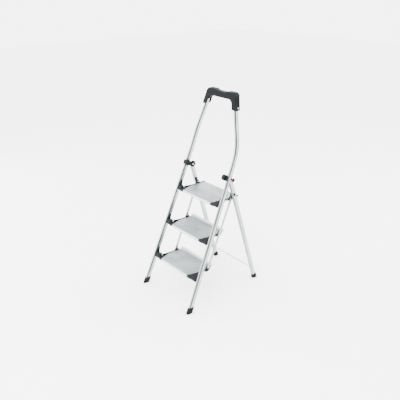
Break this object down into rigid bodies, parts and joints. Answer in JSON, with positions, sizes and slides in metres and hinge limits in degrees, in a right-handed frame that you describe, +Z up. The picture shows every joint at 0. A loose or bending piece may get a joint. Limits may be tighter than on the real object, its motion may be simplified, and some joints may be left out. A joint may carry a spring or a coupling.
{
  "type": "folding step ladder",
  "caption": "Folding aluminium step ladder with flat treads, a rear support frame, parallel link bars and a high safety rail with a grip handle.",
  "frame": {"origin": "on the floor, in the middle of the footprint of the opened ladder", "axes": "+Z up, +Y from the climber's side to the rear legs, +X to the climber's right"},
  "size_m": [0.5124, 0.6763, 1.3417],
  "materials": {
    "aluminium": "satin anodised tube",
    "tread_aluminium": "brushed sheet with fine ribs",
    "steel": "zinc-plated",
    "black_plastic": "fine-grained moulding",
    "red_plastic": "smooth moulding"
  },
  "bodies": {
    "front_frame": {"stile_left": "aluminium", "stile_right": "aluminium", "handle": "black_plastic", "handle_screw_left": "steel", "handle_screw_right": "steel", "front_foot_left": "black_plastic", "front_foot_right": "black_plastic", "hinge_block_bottom_left": "black_plastic", "hinge_block_bottom_right": "black_plastic", "hinge_block_middle_left": "black_plastic", "hinge_block_middle_right": "black_plastic", "hinge_block_platform_left": "black_plastic", "hinge_block_platform_right": "black_plastic", "pivot_pin_bottom_left": "steel", "pivot_pin_bottom_right": "steel", "pivot_pin_middle_left": "steel", "pivot_pin_middle_right": "steel", "pivot_pin_platform_left": "steel", "pivot_pin_platform_right": "steel", "knuckle_left": "black_plastic", "knuckle_right": "black_plastic", "knuckle_bolt_left": "steel", "knuckle_bolt_right": "steel", "knuckle_cap_left": "black_plastic", "knuckle_cap_right": "black_plastic", "knuckle_ring_left": "red_plastic", "knuckle_ring_right": "red_plastic"},
    "rear_frame": {"rear_leg_left": "aluminium", "rear_leg_right": "aluminium", "leg_plug_left": "black_plastic", "leg_plug_right": "black_plastic", "rear_foot_left": "black_plastic", "rear_foot_right": "black_plastic", "leg_hook_left": "black_plastic", "leg_hook_right": "black_plastic", "leg_hook_bolt_left": "steel", "leg_hook_bolt_right": "steel", "leg_hook_button_left": "black_plastic", "leg_hook_button_right": "black_plastic", "crossbar_rivet_left": "steel", "crossbar_rivet_right": "steel", "rear_crossbar": "aluminium"},
    "bottom_tread": {"bottom_tread_sheet": "tread_aluminium", "bottom_end_cap_left": "black_plastic", "bottom_end_cap_right": "black_plastic"},
    "middle_tread": {"middle_tread_sheet": "tread_aluminium", "middle_end_cap_left": "black_plastic", "middle_end_cap_right": "black_plastic"},
    "platform": {"platform_sheet": "tread_aluminium", "platform_end_cap_left": "black_plastic", "platform_end_cap_right": "black_plastic", "support_stud_left": "steel", "support_stud_right": "steel"},
    "link_bars": {"link_bar_left": "aluminium", "link_bar_right": "aluminium", "link_pin_bottom_left": "steel", "link_pin_bottom_right": "steel", "link_pin_middle_left": "steel", "link_pin_middle_right": "steel"}
  },
  "joints": [
    {"name": "rear_fold", "type": "hinge", "parent": "front_frame", "child": "rear_frame", "pos_m": [0, 0.06727, 0.82082], "axis": [-1, 0, 0], "range_deg": [0, 40]},
    {"name": "bottom_tread_fold", "type": "hinge", "parent": "front_frame", "child": "bottom_tread", "pos_m": [0, -0.22188, 0.219], "axis": [1, 0, 0], "range_deg": [0, 57]},
    {"name": "middle_tread_fold", "type": "hinge", "parent": "front_frame", "child": "middle_tread", "pos_m": [0, -0.12282, 0.449], "axis": [1, 0, 0], "range_deg": [0, 57]},
    {"name": "platform_fold", "type": "hinge", "parent": "front_frame", "child": "platform", "pos_m": [0, -0.02375, 0.679], "axis": [1, 0, 0], "range_deg": [0, 57]},
    {"name": "link_swing", "type": "hinge", "parent": "platform", "child": "link_bars", "pos_m": [0, 0.10575, 0.687], "axis": [-1, 0, 0], "range_deg": [0, 57]}
  ],
  "couplings": [
    {"joint": "bottom_tread_fold", "follows": "rear_fold", "ratio": 1.425},
    {"joint": "middle_tread_fold", "follows": "rear_fold", "ratio": 1.425},
    {"joint": "platform_fold", "follows": "rear_fold", "ratio": 1.425},
    {"joint": "link_swing", "follows": "rear_fold", "ratio": 1.425}
  ]
}
